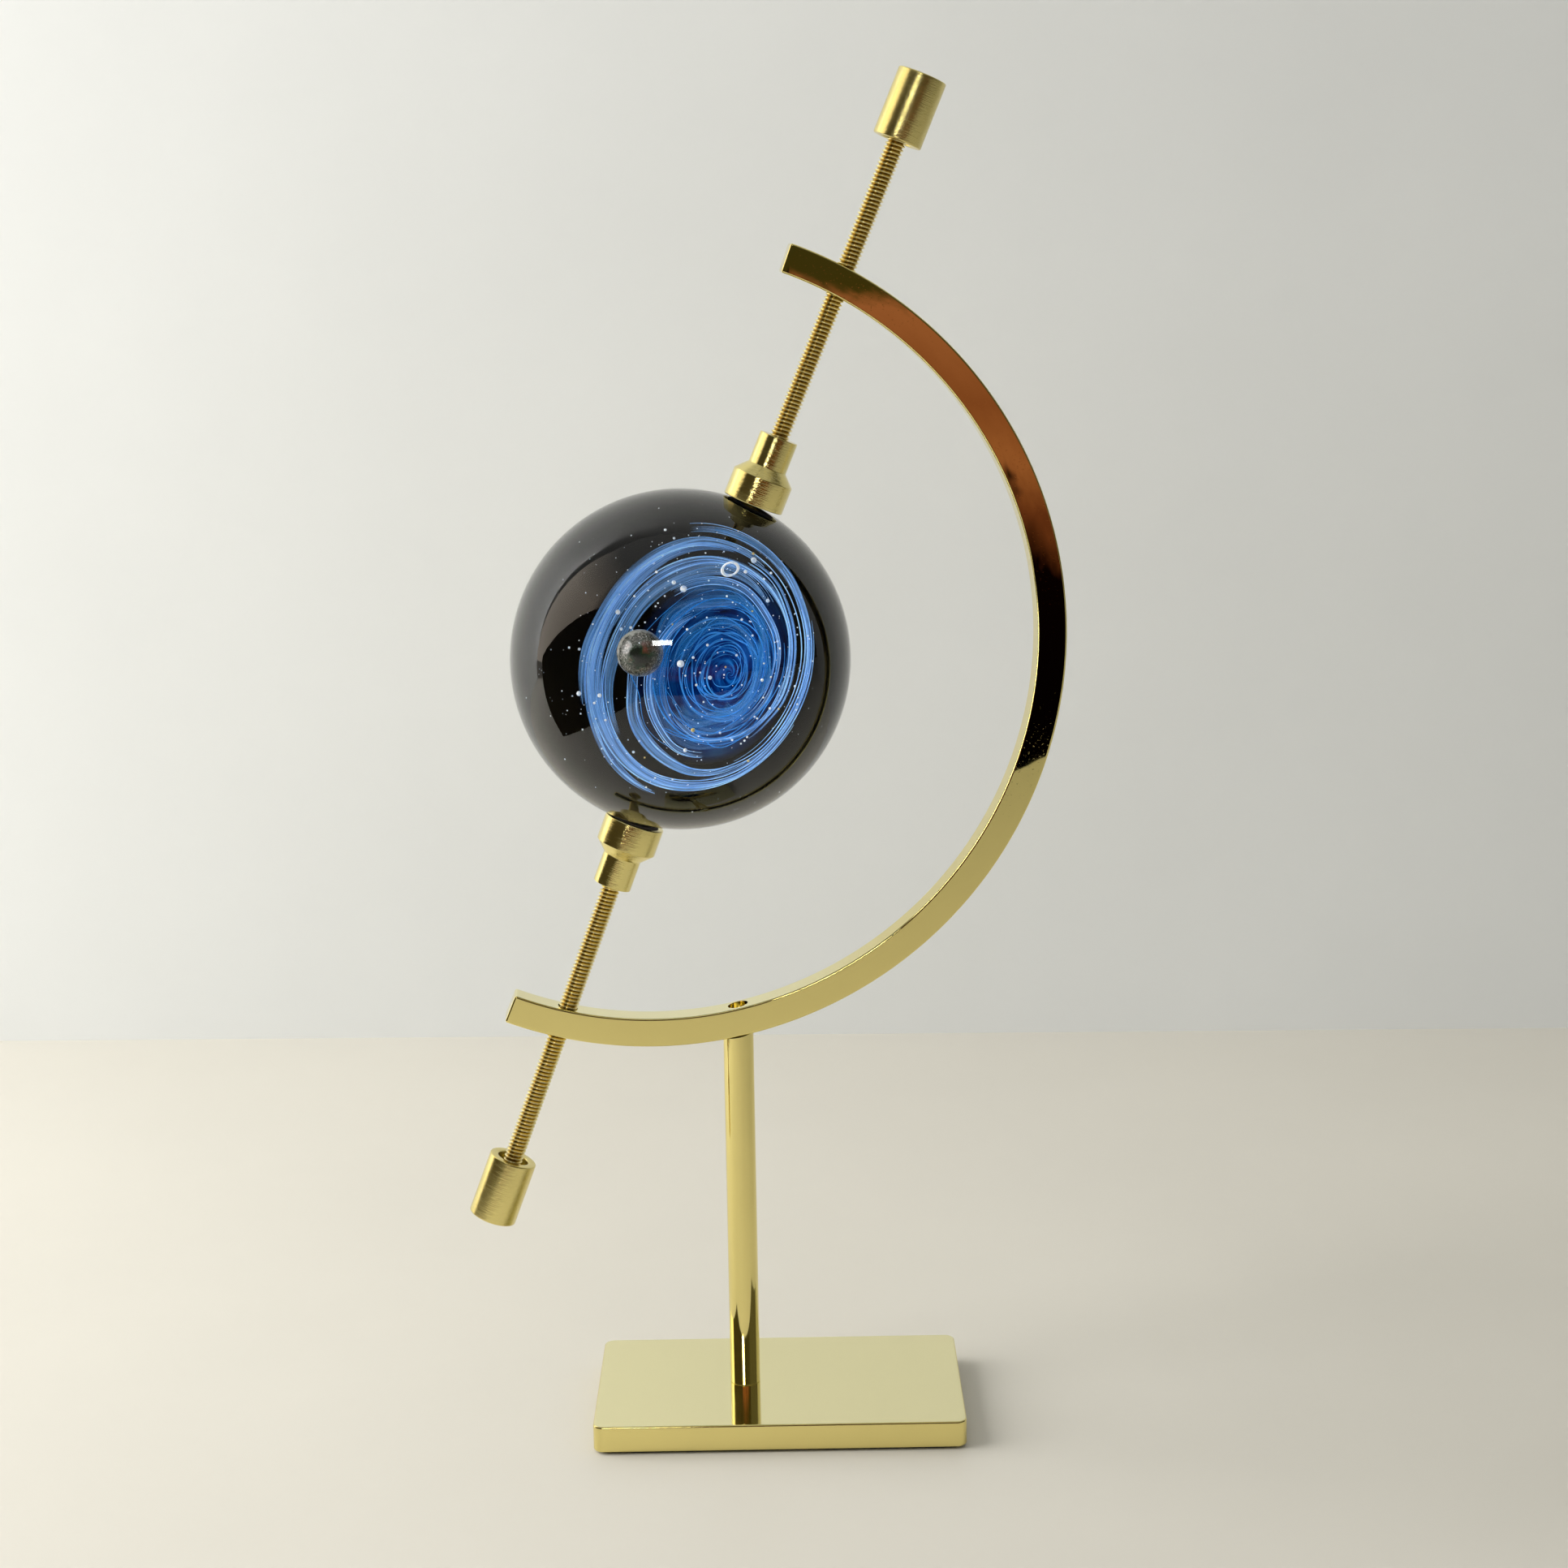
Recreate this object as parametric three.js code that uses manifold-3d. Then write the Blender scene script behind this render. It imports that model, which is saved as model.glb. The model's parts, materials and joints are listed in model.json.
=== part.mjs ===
// A desktop globe on a stand: a glass galaxy marble held on a tilted axis inside a half-circle brass bar.
//
// The bar stands on a round post, which is screwed to a small rectangular brass plate. A threaded rod
// passes through each end of the bar. It carries a knob outside and a swivelling cup inside, and the
// two cups hold the marble between them. Turning a knob drives its rod and its cup in or out.
//
// Units are millimetres and degrees. The origin is the middle of the plate's underside, +X is right
// along the plate, +Y is away from the viewer and +Z is up.
import * as THREE from "three";
import { mergeVertices } from "three/addons/utils/BufferGeometryUtils.js";
import Module from "manifold-3d";

const wasm = await Module();
wasm.setup();

// Base plate and the felt under it
const PLATE = { width: 61.2, depth: 35.4, thickness: 4.5, corner: 1.7, edge: 0.35 };
const FELT = { thickness: 0.4, inset: 0.8 };
const PLATE_TOP = FELT.thickness + PLATE.thickness;

// Post, left of the plate's middle; the bar is screwed home a little out of square with the plate
const POST = { x: -5.8, radius: 2.5 };
const BAR_TURN = 4.6;

// Square half-circle bar; x and z are its centre, measured from the post's axis and the table
const BAR = { x: -12.3, z: 131.4, middle: 64.0, side: 4.75, edge: 0.4, from: -112.9, to: 69.9 };
const BAR_OUTER = BAR.middle + BAR.side / 2;
const BAR_INNER = BAR.middle - BAR.side / 2;

// Marble, measured the same way
const MARBLE = { x: -8.0, z: 128.7, radius: 27.25 };

// Each clamp's axis: its lean from upright, and how far it passes to the right of the marble's centre
const CLAMPS = {
  upper: { lean: 22.8, offset: 1.54, turnedOver: 0 },
  lower: { lean: 21.0, offset: 1.89, turnedOver: 180 },
};

// One clamp, with distances along its axis from the marble's centre outwards
const THREAD = { radius: 1.55, journal: 1.2 };
const CUP = {
  rim: 27.35,
  shoulder: 31.75,
  neck: 33.5,
  end: 38.55,
  radius: 4.9,
  neckRadius: 3.15,
  edge: 0.15,
};
const SEAT = { from: 27.3, to: 28.4, inner: 2.9, outer: 4.0 };
const RETAINER = { from: 29.0, to: 30.2, inner: 1.25, outer: 2.6 };
const RECESS_END = 30.3;
const ROD_START = 28.8;
const ROD_SHOULDER = 37.35;
const KNOB = { from: 87.6, length: 10.7, radius: 3.95, edge: 0.3, mouth: 2.55, mouthDepth: 1.6 };
const ROD_IN_KNOB = 8.0;

// Screws of the post
const SCREW = { head: 3.0, headDepth: 1.6, recess: 0.15, length: 11.0 };
const STUD = { inPost: 6.0, belowBar: 1.1 };
const TAPPED_PLAY = 1.0;

// Glass layers of the marble: front lens and dark backing part along an upright plane
const LAYER_GAP = 0.3;
const SWIRL = { mouth: 17.5, tip: 2.4, depth: 15.0, x: 3.5, z: -1.0 };
const OPAL = { radius: 2.85, x: -5.2, y: -7.5, z: 2.15 };

// Clearance of a hole round its rod or screw, and facets round a turned piece
const RUNNING = 0.1;
const FITTED = 0.05;
const FACETS = 48;
const SMALL_FACETS = 32;
const BAR_STEPS = 40;
const COPE_FACETS = 240;
const BALL_FACETS = 56;

const BRASS = { color: 0xd2c27c, metalness: 1.0, roughness: 0.18 };
const TURNED_BRASS = { color: 0xc9b877, metalness: 1.0, roughness: 0.3 };
const THREADED_BRASS = { color: 0xcda545, metalness: 1.0, roughness: 0.35 };
const FELT_BLACK = { color: 0x1c1b19, metalness: 0.0, roughness: 0.95 };
const SEAT_RUBBER = { color: 0x4a3f2c, metalness: 0.0, roughness: 0.7 };
const CLEAR_GLASS = { color: 0x9fb4c6, metalness: 0.0, roughness: 0.02 };
const DARK_GLASS = { color: 0x0b0a0c, metalness: 0.0, roughness: 0.05 };
const SWIRL_GLASS = { color: 0x2f62b8, metalness: 0.0, roughness: 0.15 };
const OPAL_STONE = { color: 0x5d6a55, metalness: 0.0, roughness: 0.2 };

const rad = THREE.MathUtils.degToRad;

// A closed geometry as a solid for joining and cutting.
function solidOf(geometry) {
  const bare = geometry.clone();
  bare.deleteAttribute("normal");
  bare.deleteAttribute("uv");
  const merged = mergeVertices(bare, 1e-4);
  return new wasm.Manifold(
    new wasm.Mesh({
      numProp: 3,
      vertProperties: new Float32Array(merged.attributes.position.array),
      triVerts: new Uint32Array(merged.index.array),
    }),
  );
}

// A solid back as a geometry that three.js can draw.
function geometryOf(solid) {
  const mesh = solid.getMesh();
  const geometry = new THREE.BufferGeometry();
  geometry.setAttribute("position", new THREE.BufferAttribute(mesh.vertProperties, 3));
  geometry.setIndex(new THREE.BufferAttribute(mesh.triVerts, 1));
  geometry.computeVertexNormals();
  return geometry;
}

// The first geometry with all the others cut out of it.
function cut(geometry, ...tools) {
  return geometryOf(tools.reduce((rest, tool) => rest.subtract(solidOf(tool)), solidOf(geometry)));
}

// A piece turned about +Z, from [radius, height] points that go up its outside and back down its bore.
function turned(points, facets = FACETS) {
  const profile = points.map(([radius, height]) => new THREE.Vector2(radius, height));
  return new THREE.LatheGeometry(profile, facets).rotateX(Math.PI / 2);
}

// A round bar about +Z between two heights.
function round(radius, from, to, facets = SMALL_FACETS) {
  return turned([[0, from], [radius, from], [radius, to], [0, to]], facets);
}

// A ring about +Z between two heights.
function ring(inner, outer, from, to, facets = SMALL_FACETS) {
  return turned([[inner, from], [outer, from], [outer, to], [inner, to], [inner, from]], facets);
}

// A flat outline raised from z = 0, with its edges chamfered inside the outline.
function raised(shape, height, edge, steps) {
  return new THREE.ExtrudeGeometry(shape, {
    depth: height - 2 * edge,
    bevelEnabled: edge > 0,
    bevelThickness: edge,
    bevelSize: edge,
    bevelOffset: -edge,
    bevelSegments: 1,
    curveSegments: steps,
  }).translate(0, 0, edge);
}

// A rectangle about the origin with round corners.
function roundedRectangle(width, depth, corner) {
  const [x, y] = [width / 2 - corner, depth / 2 - corner];
  const shape = new THREE.Shape();
  shape.absarc(x, -y, corner, -Math.PI / 2, 0);
  shape.absarc(x, y, corner, 0, Math.PI / 2);
  shape.absarc(-x, y, corner, Math.PI / 2, Math.PI);
  shape.absarc(-x, -y, corner, Math.PI, 1.5 * Math.PI);
  return shape;
}

function basePlate() {
  const outline = roundedRectangle(PLATE.width, PLATE.depth, PLATE.corner);
  const plate = raised(outline, PLATE.thickness, PLATE.edge, 6);
  plate.translate(0, 0, FELT.thickness);
  const seat = SCREW.head + RUNNING;
  const hole = THREAD.radius + RUNNING;
  const bottom = FELT.thickness + SCREW.recess;
  const screwHole = turned([
    [0, FELT.thickness - 1],
    [seat, FELT.thickness - 1],
    [seat, bottom],
    [hole, bottom + SCREW.headDepth],
    [hole, PLATE_TOP + 1],
    [0, PLATE_TOP + 1],
  ], SMALL_FACETS);
  return cut(plate, screwHole.translate(POST.x, 0, 0));
}

function baseFelt() {
  const [width, depth] = [PLATE.width - 2 * FELT.inset, PLATE.depth - 2 * FELT.inset];
  return raised(roundedRectangle(width, depth, PLATE.corner), FELT.thickness, 0, 6);
}

// Countersunk screw that holds the plate to the post, from below.
function baseScrew() {
  const bottom = FELT.thickness + SCREW.recess + FITTED;
  return turned([
    [0, bottom],
    [SCREW.head, bottom],
    [THREAD.radius, bottom + SCREW.headDepth],
    [THREAD.radius, bottom + SCREW.length],
    [0, bottom + SCREW.length],
  ], SMALL_FACETS);
}

// Height of the bar's outer or inner face above the post's axis.
function barFaceOverPost(radius) {
  return BAR.z - Math.sqrt(radius ** 2 - BAR.x ** 2);
}

// Round post, tapped at both ends, its top coped to the bar's underside.
function post() {
  const top = barFaceOverPost(BAR_OUTER);
  const tapped = THREAD.radius + RUNNING;
  const screwEnd = FELT.thickness + SCREW.recess + SCREW.length;
  const cope = round(BAR_OUTER + RUNNING, -POST.radius * 2, POST.radius * 2, COPE_FACETS);
  cope.rotateX(Math.PI / 2).translate(BAR.x, 0, BAR.z);
  return cut(
    round(POST.radius, PLATE_TOP, top + POST.radius, FACETS),
    cope,
    round(tapped, PLATE_TOP - 1, screwEnd + TAPPED_PLAY),
    round(tapped, top - STUD.inPost - TAPPED_PLAY, top + POST.radius + 1),
  );
}

// Threaded stud that joins the post and the bar and ends just inside the bar's third hole.
function postStud() {
  const from = barFaceOverPost(BAR_OUTER) - STUD.inPost;
  return round(THREAD.radius, from, barFaceOverPost(BAR_INNER) - STUD.belowBar);
}

// The foot of a clamp's axis: the point on it nearest to the marble's centre.
function axisFoot({ lean, offset }) {
  const [x, z] = [offset * Math.cos(rad(lean)), -offset * Math.sin(rad(lean))];
  return new THREE.Vector3(MARBLE.x + x, 0, MARBLE.z + z);
}

function bar() {
  const [from, to] = [rad(BAR.from), rad(BAR.to)];
  const outline = new THREE.Shape();
  outline.absarc(0, 0, BAR_OUTER, from, to, false);
  outline.absarc(0, 0, BAR_INNER, to, from, true);
  const blank = raised(outline, BAR.side, BAR.edge, BAR_STEPS);
  blank.translate(0, 0, -BAR.side / 2).rotateX(Math.PI / 2).translate(BAR.x, 0, BAR.z);
  const hole = THREAD.radius + RUNNING;
  const rodHoles = Object.values(CLAMPS).map((clamp) => {
    const foot = axisFoot(clamp);
    const drill = round(hole, BAR_INNER - BAR.side * 2, BAR_OUTER + BAR.side * 2);
    return drill.rotateY(rad(clamp.lean + clamp.turnedOver)).translate(foot.x, 0, foot.z);
  });
  const studHole = round(hole, barFaceOverPost(BAR_OUTER) - 2, barFaceOverPost(BAR_INNER) + 2);
  return cut(blank, ...rodHoles, studHole);
}

// Stepped cup. Its neck turns on the rod's journal, and its mouth holds the seat ring.
function cup() {
  const journal = THREAD.journal + RUNNING;
  const thread = THREAD.radius + RUNNING;
  const pocket = SEAT.outer + FITTED;
  const pocketEnd = SEAT.to + FITTED;
  return turned([
    [pocket + CUP.edge, CUP.rim],
    [CUP.radius - CUP.edge, CUP.rim],
    [CUP.radius, CUP.rim + CUP.edge],
    [CUP.radius, CUP.shoulder],
    [CUP.neckRadius, CUP.neck],
    [CUP.neckRadius, CUP.end - CUP.edge],
    [CUP.neckRadius - CUP.edge, CUP.end],
    [thread, CUP.end],
    [thread, ROD_SHOULDER - RUNNING],
    [journal, ROD_SHOULDER - RUNNING],
    [journal, RECESS_END],
    [RETAINER.outer + RUNNING, RECESS_END],
    [RETAINER.outer + RUNNING, pocketEnd],
    [pocket, pocketEnd],
    [pocket, CUP.rim + CUP.edge],
    [pocket + CUP.edge, CUP.rim],
  ]);
}

// Threaded rod with a plain journal on its inner end.
function rod() {
  const end = KNOB.from + ROD_IN_KNOB;
  return turned([
    [0, ROD_START],
    [THREAD.journal, ROD_START],
    [THREAD.journal, ROD_SHOULDER],
    [THREAD.radius, ROD_SHOULDER],
    [THREAD.radius, end],
    [0, end],
  ], SMALL_FACETS);
}

// Round knob with a blind hole for the rod and a wider mouth.
function knob() {
  const end = KNOB.from + KNOB.length;
  const hole = THREAD.radius + FITTED;
  const holeEnd = KNOB.from + ROD_IN_KNOB + FITTED;
  return turned([
    [KNOB.mouth, KNOB.from],
    [KNOB.radius - KNOB.edge, KNOB.from],
    [KNOB.radius, KNOB.from + KNOB.edge],
    [KNOB.radius, end - KNOB.edge],
    [KNOB.radius - KNOB.edge, end],
    [0, end],
    [0, holeEnd],
    [hole, holeEnd],
    [hole, KNOB.from + KNOB.mouthDepth],
    [KNOB.mouth, KNOB.from + KNOB.mouthDepth],
    [KNOB.mouth, KNOB.from],
  ]);
}

// Half of the marble about the origin: -1 is the clear half in front, +1 the dark half behind it.
function halfBall(side) {
  const reach = 2 * MARBLE.radius;
  const ball = new THREE.SphereGeometry(MARBLE.radius, BALL_FACETS, BALL_FACETS / 2);
  const block = new THREE.BoxGeometry(2 * reach, reach, 2 * reach);
  block.translate(0, side * (reach / 2 + LAYER_GAP / 2), 0);
  return geometryOf(solidOf(ball.rotateX(Math.PI / 2)).intersect(solidOf(block)));
}

// Funnel of coloured glass that narrows away from the viewer; its pocket is the same shape, grown.
function swirl(grown = 0) {
  const funnel = turned([
    [0, -grown],
    [SWIRL.mouth + grown, -grown],
    [SWIRL.tip + grown, SWIRL.depth + grown],
    [0, SWIRL.depth + grown],
  ]);
  return funnel.rotateX(-Math.PI / 2).translate(SWIRL.x, LAYER_GAP / 2, SWIRL.z);
}

// Small opal ball in the clear half, in front of the swirl like a planet.
function opal() {
  const ball = new THREE.SphereGeometry(OPAL.radius, SMALL_FACETS, SMALL_FACETS / 2);
  return ball.translate(OPAL.x, OPAL.y, OPAL.z);
}

// Blind hole for the opal, open at the plane between the halves.
function opalPocket() {
  const hole = round(OPAL.radius + LAYER_GAP, 0, OPAL.radius + LAYER_GAP - OPAL.y);
  return hole.rotateX(Math.PI / 2).translate(OPAL.x, 0, OPAL.z);
}

function named(name, geometry, finish) {
  const mesh = new THREE.Mesh(geometry, new THREE.MeshStandardMaterial(finish));
  mesh.name = name;
  return mesh;
}

// All the pieces of one clamp, along the local +Z axis.
function clampGroup(side) {
  const group = new THREE.Group();
  group.add(
    named(`${side}_cup`, cup(), TURNED_BRASS),
    named(`${side}_seat_ring`, ring(SEAT.inner, SEAT.outer, SEAT.from, SEAT.to), SEAT_RUBBER),
    named(`${side}_rod`, rod(), THREADED_BRASS),
    named(
      `${side}_cup_retainer`,
      ring(RETAINER.inner, RETAINER.outer, RETAINER.from, RETAINER.to),
      TURNED_BRASS,
    ),
    named(`${side}_knob`, knob(), TURNED_BRASS),
  );
  group.position.copy(axisFoot(CLAMPS[side]));
  group.rotation.y = rad(CLAMPS[side].lean + CLAMPS[side].turnedOver);
  return group;
}

// The four layers of glass that are fused into the marble.
function marbleGroup() {
  const group = new THREE.Group();
  group.add(
    named("marble_lens", cut(halfBall(-1), opalPocket()), CLEAR_GLASS),
    named("marble_backing", cut(halfBall(1), swirl(LAYER_GAP)), DARK_GLASS),
    named("galaxy_swirl", swirl(), SWIRL_GLASS),
    named("opal", opal(), OPAL_STONE),
  );
  group.position.set(MARBLE.x, 0, MARBLE.z);
  return group;
}

const globe = new THREE.Group();
globe.add(
  named("base_plate", basePlate(), BRASS),
  named("base_felt", baseFelt(), FELT_BLACK),
);

// Everything on the post's axis, turned with the bar
const head = new THREE.Group();
head.position.x = POST.x;
head.rotation.z = rad(BAR_TURN);
head.add(
  named("base_screw", baseScrew(), TURNED_BRASS),
  named("post", post(), BRASS),
  named("post_stud", postStud(), THREADED_BRASS),
  named("half_circle_bar", bar(), BRASS),
  clampGroup("upper"),
  clampGroup("lower"),
  marbleGroup(),
);
globe.add(head);

export default globe;
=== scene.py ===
"""Looks of a desktop globe: a galaxy marble clamped on a tilted axis in a half-circle brass bar.

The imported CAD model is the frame. Its joints say where the clamps' axes and the marble's centre
are, and the pieces below are the fine surfaces built round them. Lengths here are millimetres in
the names and tables, and metres once they pass through mm().
"""

import json
import math
import random

import bmesh
import bpy
import numpy as np
from mathutils import Matrix, Vector


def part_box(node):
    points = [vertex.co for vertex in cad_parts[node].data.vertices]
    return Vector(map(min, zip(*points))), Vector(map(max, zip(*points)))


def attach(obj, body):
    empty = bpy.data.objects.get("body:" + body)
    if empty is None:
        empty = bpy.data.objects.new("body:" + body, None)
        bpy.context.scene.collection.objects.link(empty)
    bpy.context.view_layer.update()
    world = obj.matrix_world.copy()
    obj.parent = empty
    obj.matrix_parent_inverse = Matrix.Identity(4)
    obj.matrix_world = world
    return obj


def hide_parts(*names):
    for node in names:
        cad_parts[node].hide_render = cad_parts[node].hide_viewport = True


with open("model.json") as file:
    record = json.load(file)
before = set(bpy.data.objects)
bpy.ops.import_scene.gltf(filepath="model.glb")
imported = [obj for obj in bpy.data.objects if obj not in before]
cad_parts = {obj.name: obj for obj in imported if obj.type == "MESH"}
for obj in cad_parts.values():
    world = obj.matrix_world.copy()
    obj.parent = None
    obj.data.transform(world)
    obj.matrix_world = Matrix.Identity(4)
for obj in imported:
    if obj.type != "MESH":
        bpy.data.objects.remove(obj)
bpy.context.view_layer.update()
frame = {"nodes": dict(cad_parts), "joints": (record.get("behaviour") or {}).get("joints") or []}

# ---------------- sizes, in millimetres

PLATE = {"width": 61.2, "depth": 35.4, "bottom": 0.4, "top": 4.9, "corner": 1.7, "edge": 0.38}
SCREW_HOLE = {"play": 0.1, "top": 2.2}
POST = {"radius": 2.5, "seam": 0.12, "foot_gap": 0.02, "cope_gap": 0.1}
BAR = {"x": -12.3, "z": 131.4, "middle": 64.0, "side": 4.75, "edge": 0.34}
BAR_FROM, BAR_TO = math.radians(-112.9), math.radians(69.9)
BAR_OUTER = BAR["middle"] + BAR["side"] / 2
BAR_INNER = BAR["middle"] - BAR["side"] / 2
HOLE_RADIUS = 1.65
CUP = {"rim": 27.35, "shoulder": 31.75, "neck": 33.5, "end": 38.55, "radius": 4.88, "thin": 3.12}
CUP_BORE = {"pocket": 4.05, "seat_end": 28.45, "recess": 2.7, "recess_end": 30.3, "journal": 1.3}
ROD_SHOULDER = 37.35
JOURNAL = {"from": 28.8, "radius": 1.2}
THREAD = {"pitch": 0.635, "crest": 1.58, "root": 1.19, "steep": 1.35, "flat": 0.14, "rows": 12, "sides": 40}
THREAD_TIP = 0.001
KNOB = {"from": 87.6, "to": 98.3, "radius": 3.93, "mouth": 2.55, "mouth_depth": 1.6}
ROD_IN_KNOB = 8.0
MARBLE_RADIUS = 27.2
TURNED_SIDES = 128
DRILLED_SIDES = 64
COPE_SIDES = 720
AXIS_TIP = 1e-4


def mm(*values):
    """Millimetres as metres: one number, or a vector of three."""
    scaled = [value / 1000 for value in values]
    return scaled[0] if len(scaled) == 1 else Vector(scaled)


# ---------------- places, from the frame

joints = {joint["name"]: joint for joint in frame["joints"]}
marble_centre = Vector(joints["marble_spin"]["pos_m"])
post_low, post_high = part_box("post")
post_x = (post_low.x + post_high.x) / 2
upper_axis = Vector(joints["upper_clamp_feed"]["axis"])
bar_turn = math.atan2(upper_axis.y, upper_axis.x)
head_matrix = Matrix.Translation((post_x, 0, 0)) @ Matrix.Rotation(bar_turn, 4, "Z")


def clamp_matrix(side):
    """The place of a clamp's own frame: +Z outwards along its axis, from the marble's middle."""
    axis = Vector(joints[f"{side}_clamp_feed"]["axis"])
    turn = axis.to_track_quat("Z", "Y").to_matrix().to_4x4()
    return Matrix.Translation(Vector(joints[f"{side}_knob_turn"]["pos_m"])) @ turn


# ---------------- node material helpers


class Nodes:
    """A small writer of shader nodes: node() makes one and links the sockets given as its inputs."""

    def __init__(self, tree):
        self.tree = tree
        tree.nodes.clear()

    def node(self, kind, inputs=None, **settings):
        made = self.tree.nodes.new(kind)
        for name, value in settings.items():
            setattr(made, name, value)
        for name, value in (inputs or {}).items():
            socket = made.inputs[name]
            if isinstance(value, bpy.types.NodeSocket):
                self.tree.links.new(value, socket)
            else:
                socket.default_value = value
        return made

    def math(self, operation, a, b=0.0, c=0.0, clamp=False):
        inputs = {0: a, 1: b, 2: c}
        return self.node("ShaderNodeMath", inputs, operation=operation, use_clamp=clamp).outputs[0]

    def times(self, *values):
        """Product of the values, in the order given."""
        product = values[0]
        for value in values[1:]:
            product = self.math("MULTIPLY", product, value)
        return product

    def length(self, a, b):
        """Length of the flat vector with parts a and b."""
        square = self.math("ADD", self.math("POWER", a, 2.0), self.math("POWER", b, 2.0))
        return self.math("SQRT", square)

    def ramp(self, fac, stops):
        made = self.node("ShaderNodeValToRGB", {"Fac": fac})
        elements = made.color_ramp.elements
        while len(elements) < len(stops):
            elements.new(0.5)
        for element, (position, colour) in zip(elements, stops):
            element.position = position
            element.color = (*colour, 1.0) if len(colour) == 3 else colour
        return made.outputs["Color"]

    def mix(self, fac, a, b, blend="MIX"):
        inputs = {0: fac, 6: a, 7: b}
        return self.node("ShaderNodeMix", inputs, data_type="RGBA", blend_type=blend).outputs[2]

    def place(self, name="Object"):
        return self.node("ShaderNodeTexCoord").outputs[name]

    def scaled(self, vector, scale):
        return self.node("ShaderNodeMapping", {"Vector": vector, "Scale": scale}).outputs["Vector"]

    def noise(self, vector, scale, detail=2.0, roughness=0.5, distortion=0.0):
        inputs = {
            "Vector": vector,
            "Scale": scale,
            "Detail": detail,
            "Roughness": roughness,
            "Distortion": distortion,
        }
        return self.node("ShaderNodeTexNoise", inputs).outputs["Fac"]

    def bump(self, height, distance, strength=1.0):
        inputs = {"Height": height, "Distance": distance, "Strength": strength}
        return self.node("ShaderNodeBump", inputs).outputs["Normal"]

    def finish(self, **inputs):
        """Principled shader with the inputs, spaces in their names written as _, as the surface."""
        named = {name.replace("_", " "): value for name, value in inputs.items()}
        shader = self.node("ShaderNodeBsdfPrincipled", named)
        output = self.node("ShaderNodeOutputMaterial")
        self.tree.links.new(shader.outputs[0], output.inputs["Surface"])
        return output

    def finish_emission(self, colour, strength):
        light = self.node("ShaderNodeEmission", {"Color": colour, "Strength": strength})
        output = self.node("ShaderNodeOutputMaterial")
        self.tree.links.new(light.outputs[0], output.inputs["Surface"])


def new_material(name):
    material = bpy.data.materials.new(name)
    material.use_nodes = True
    return material, Nodes(material.node_tree)


def grey(nodes, fac, low, high):
    """fac from 0 to 1 as a value from low to high."""
    made = nodes.node("ShaderNodeMapRange", {"Value": fac, "To Min": low, "To Max": high})
    return made.outputs["Result"]


# ---------------- materials

BRASS = (0.83, 0.715, 0.285, 1.0)
BRASS_DULL = (0.72, 0.60, 0.23, 1.0)
# Paler brass mixed onto upward faces: a painted highlight.
BRASS_PAINTED_TOP_LIGHT = (0.96, 0.90, 0.54, 1.0)


def polished_brass(name, rough):
    """Mirror-bright brass with faint waviness and tiny pits, and a painted highlight that makes its upward
    faces paler.
    """
    material, n = new_material(name)
    place = n.place()
    haze = n.noise(place, 90.0, detail=4.0)
    wave = n.noise(place, 60.0, detail=2.0)
    pits = n.ramp(n.noise(place, 2600.0, detail=2.0), [(0.28, (0, 0, 0)), (0.34, (1, 1, 1))])
    metal = n.mix(n.math("MULTIPLY", haze, 0.3), BRASS, BRASS_DULL)
    facing = n.node("ShaderNodeSeparateXYZ", {"Vector": n.node("ShaderNodeNewGeometry").outputs["Normal"]})
    # Upward faces are mixed towards the paler brass: a painted highlight.
    painted_top_light = n.ramp(facing.outputs[2], [(0.80, (0, 0, 0)), (0.98, (1, 1, 1))])
    tone = n.mix(painted_top_light, metal, BRASS_PAINTED_TOP_LIGHT)
    height = n.math("ADD", wave, n.math("MULTIPLY", pits, 0.03))
    n.finish(
        Base_Color=tone,
        Metallic=1.0,
        Roughness=grey(n, haze, *rough),
        Normal=n.bump(height, 0.00010, 0.3),
    )
    return material


def turned_brass(name, dull=0.4, rough=(0.14, 0.30)):
    """Lathe-turned brass: fine grooves round the piece's own Z axis, chatter and dull patches."""
    material, n = new_material(name)
    place = n.place()
    along = n.scaled(place, (150.0, 150.0, 9000.0))
    grooves = n.noise(along, 1.0, detail=3.0, roughness=0.6)
    chatter = n.noise(n.scaled(place, (900.0, 900.0, 2600.0)), 1.0, detail=1.0)
    patches = n.noise(place, 420.0, detail=5.0, roughness=0.65)
    tone = n.mix(n.math("MULTIPLY", patches, 2 * dull), BRASS, BRASS_DULL)
    height = n.math("ADD", grooves, n.math("MULTIPLY", chatter, 0.5))
    n.finish(
        Base_Color=tone,
        Metallic=1.0,
        Roughness=grey(n, patches, *rough),
        Normal=n.bump(height, 0.00004, 0.9),
    )
    return material


def threaded_brass_painted_shade():
    """Raw brass of the threads, yellower, with painted shade in the roots and a painted highlight on the
    crests, by the piece's own radius.
    """
    material, n = new_material("threaded_brass_painted_shade")
    place = n.place()
    parts = n.node("ShaderNodeSeparateXYZ", {"Vector": place})
    radius = n.length(parts.outputs[0], parts.outputs[1])
    depth = n.node(
        "ShaderNodeMapRange",
        {"Value": radius, "From Min": mm(THREAD["root"]), "From Max": mm(THREAD["crest"])},
    ).outputs["Result"]
    # Colour by radius: painted shade in the thread roots, a painted highlight on the crests.
    tone = n.ramp(depth, [(0.0, (0.36, 0.24, 0.06)), (0.5, (0.80, 0.63, 0.22)), (1.0, (0.96, 0.87, 0.48))])
    grain = n.noise(place, 1400.0, detail=3.0)
    n.finish(
        Base_Color=tone,
        Metallic=1.0,
        Roughness=grey(n, grain, 0.14, 0.26),
        Normal=n.bump(grain, 0.00002, 0.5),
    )
    return material


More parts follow.
